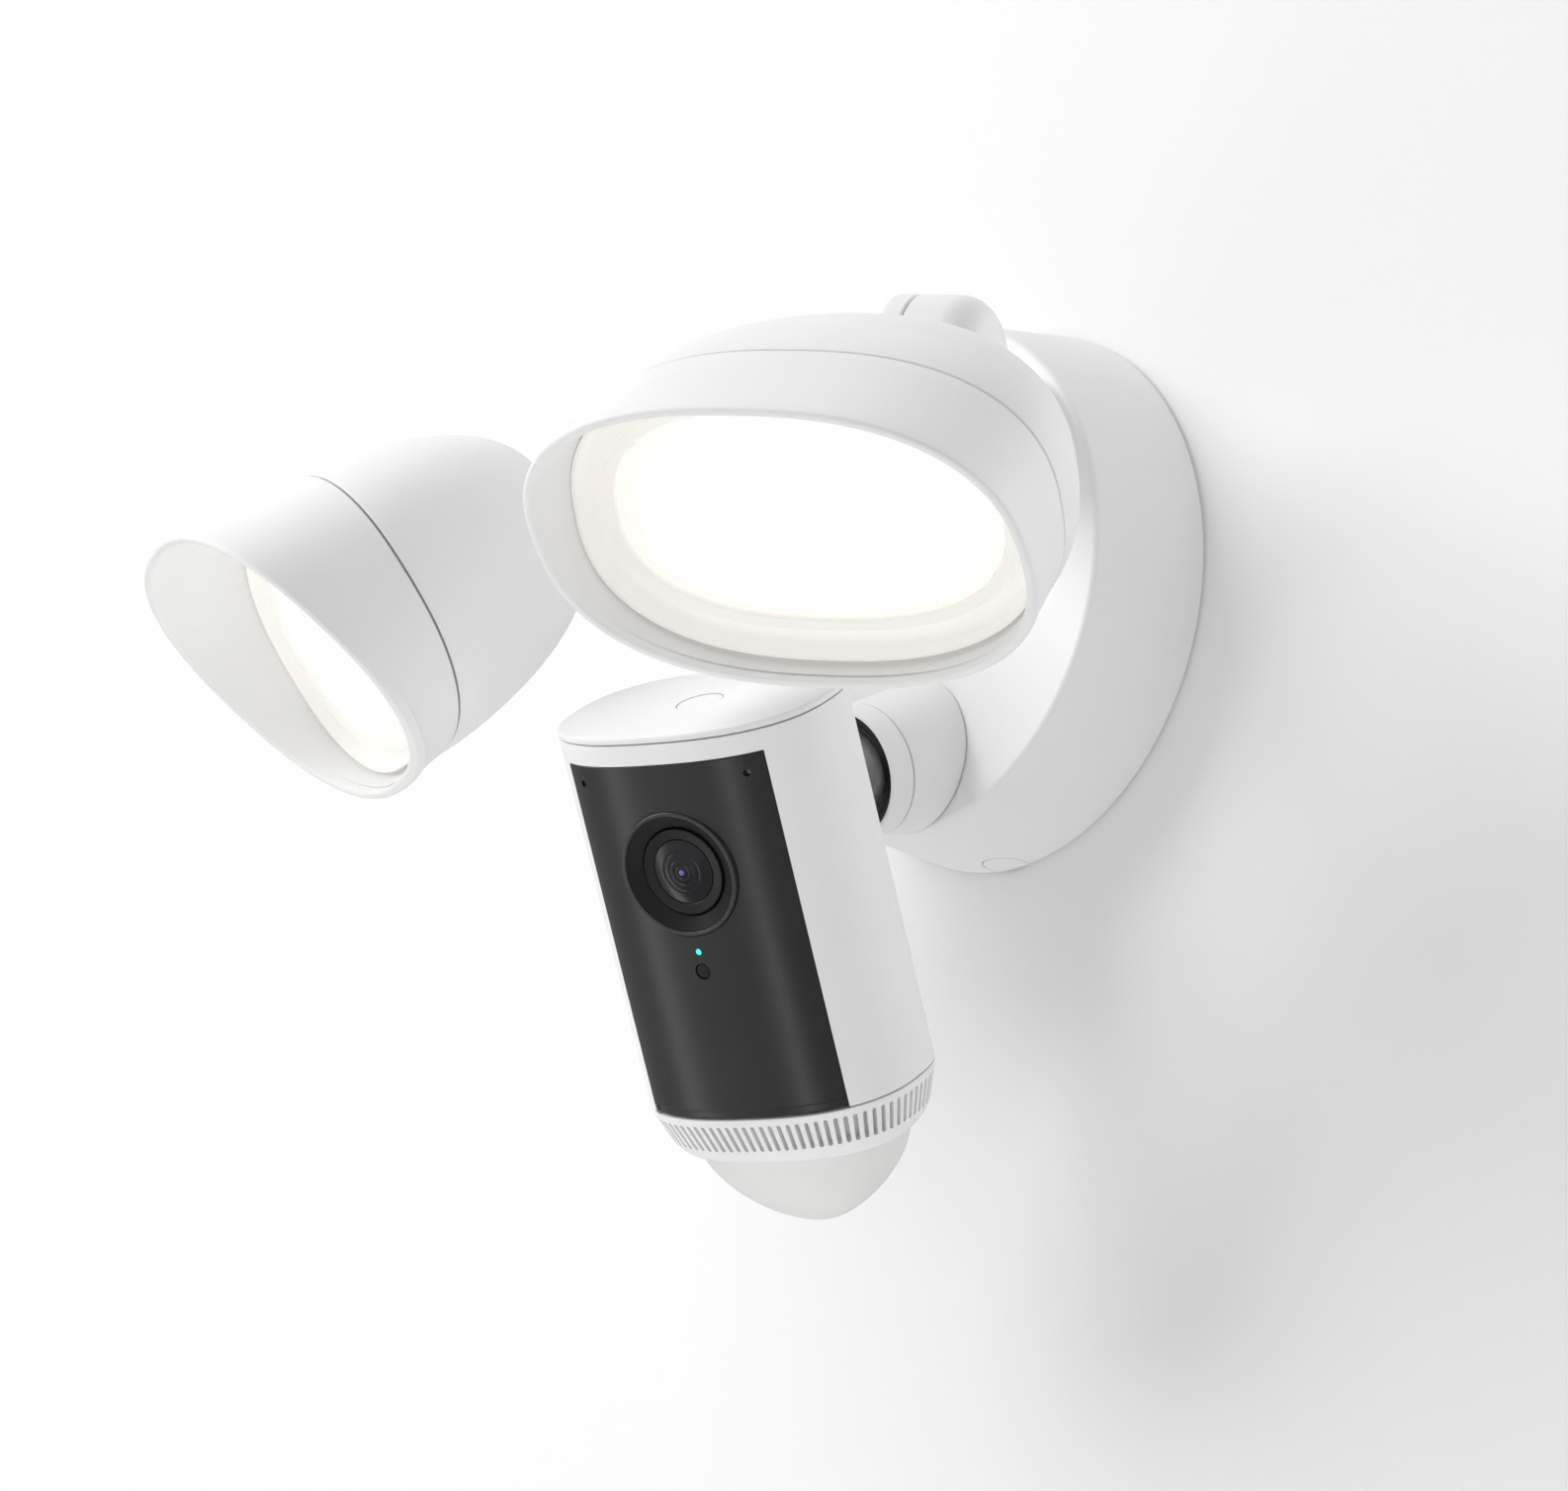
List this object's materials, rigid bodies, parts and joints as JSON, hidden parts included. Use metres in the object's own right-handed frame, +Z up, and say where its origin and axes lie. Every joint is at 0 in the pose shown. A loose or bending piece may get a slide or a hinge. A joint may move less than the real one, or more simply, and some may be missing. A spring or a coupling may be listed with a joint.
{
  "type": "floodlight security camera",
  "caption": "Wall-mounted outdoor security camera on a ball joint under hooded floodlights on jointed arms, with a speaker band and a motion-sensor dome.",
  "frame": {"origin": "centre of the base's wall face, on the wall's surface", "axes": "+Y into the wall, so the object stands off in -Y; +X to the right as seen from the front; +Z up"},
  "size_m": [0.2958, 0.1929, 0.227],
  "materials": {
    "white_shell": "fine satin texture, moulded",
    "cream_tray": "warm off-white, smooth satin",
    "diffuser": "translucent white, lit from behind",
    "front_panel": "charcoal satin",
    "black_plastic": "fine satin",
    "lens_glass": "coated, near black",
    "ball_metal": "grey satin",
    "seal_rubber": "matt",
    "steel": "zinc plated",
    "aluminium": "stamped",
    "circuit_board": "solder mask",
    "dome_plastic": "milky, slightly translucent",
    "status_light": "lit cyan",
    "pale_foam": "closed-cell foam, matt"
  },
  "bodies": {
    "base": {"wall_gasket": "pale_foam", "mount_bracket": "steel", "rear_plate": "steel", "base_cover": "white_shell", "screw_cover_plug": "white_shell", "fixing_screw": "steel", "driver_board": "circuit_board", "driver_transformer": "black_plastic", "terminal_block": "cream_tray", "smoothing_capacitor": "black_plastic", "socket_boss": "white_shell", "socket_collar": "white_shell", "ball_seat": "black_plastic", "right_arm_seal": "seal_rubber", "left_arm_seal": "seal_rubber"},
    "socket_liner": {"ball_liner": "black_plastic"},
    "camera_stud": {"ball_stud": "ball_metal"},
    "camera": {"stud_nut": "steel", "camera_shell": "white_shell", "front_panel": "front_panel", "top_cap": "white_shell", "button_switch": "black_plastic", "lens_bezel": "black_plastic", "lens_barrel": "black_plastic", "lens_glass": "lens_glass", "status_light_pipe": "status_light", "light_sensor_window": "black_plastic", "image_sensor_board": "circuit_board", "main_board": "circuit_board", "speaker": "black_plastic", "grille_band": "white_shell", "sensor_dome": "dome_plastic", "motion_board": "circuit_board", "motion_sensor": "steel"},
    "setup_button": {"setup_button": "white_shell"},
    "right_arm": {"right_arm": "white_shell", "right_arm_nut": "steel", "right_hinge_screw": "steel", "right_tilt_washer": "steel"},
    "right_lamp": {"right_neck": "white_shell", "right_rear_housing": "white_shell", "right_seam_gasket": "seal_rubber", "right_hood": "white_shell", "right_reflector": "cream_tray", "right_diffuser": "diffuser", "right_led_board": "circuit_board", "right_heat_spreader": "aluminium"},
    "left_arm": {"left_arm": "white_shell", "left_arm_nut": "steel", "left_hinge_screw": "steel", "left_tilt_washer": "steel"},
    "left_lamp": {"left_neck": "white_shell", "left_rear_housing": "white_shell", "left_seam_gasket": "seal_rubber", "left_hood": "white_shell", "left_reflector": "cream_tray", "left_diffuser": "diffuser", "left_led_board": "circuit_board", "left_heat_spreader": "aluminium"}
  },
  "joints": [
    {"name": "right_arm_swivel", "type": "hinge", "parent": "base", "child": "right_arm", "pos_m": [0.0351, -0.0322, 0.029], "axis": [0.4473, -0.8944, 0], "range_deg": [-60, 60]},
    {"name": "right_lamp_tilt", "type": "hinge", "parent": "right_arm", "child": "right_lamp", "pos_m": [0.05961, -0.08121, 0.029], "axis": [0.8859, 0.443, -0.1374], "range_deg": [-60, 5]},
    {"name": "left_arm_swivel", "type": "hinge", "parent": "base", "child": "left_arm", "pos_m": [-0.0351, -0.0322, 0.029], "axis": [-0.4473, -0.8944, 0], "range_deg": [-60, 60]},
    {"name": "left_lamp_tilt", "type": "hinge", "parent": "left_arm", "child": "left_lamp", "pos_m": [-0.05961, -0.08121, 0.029], "axis": [0.8923, -0.4463, -0.068], "range_deg": [-55, 30]},
    {"name": "camera_pan", "type": "hinge", "parent": "base", "child": "socket_liner", "pos_m": [0, -0.0501, -0.05087], "axis": [0, 0, 1], "range_deg": [-45, 17]},
    {"name": "camera_tilt", "type": "hinge", "parent": "socket_liner", "child": "camera_stud", "pos_m": [0, -0.0501, -0.05087], "axis": [0.9148, 0.404, 0], "range_deg": [-5, 16]},
    {"name": "camera_turn", "type": "hinge", "parent": "camera_stud", "child": "camera", "pos_m": [0, -0.0501, -0.05087], "axis": [0.2026, -0.8272, -0.5242], "range_deg": [-60, 60]},
    {"name": "button_press", "type": "slide", "parent": "camera", "child": "setup_button", "axis": [-0.2142, 0.4849, -0.848], "range_m": [0, 0.0008], "stiffness_N_per_m": 400}
  ]
}
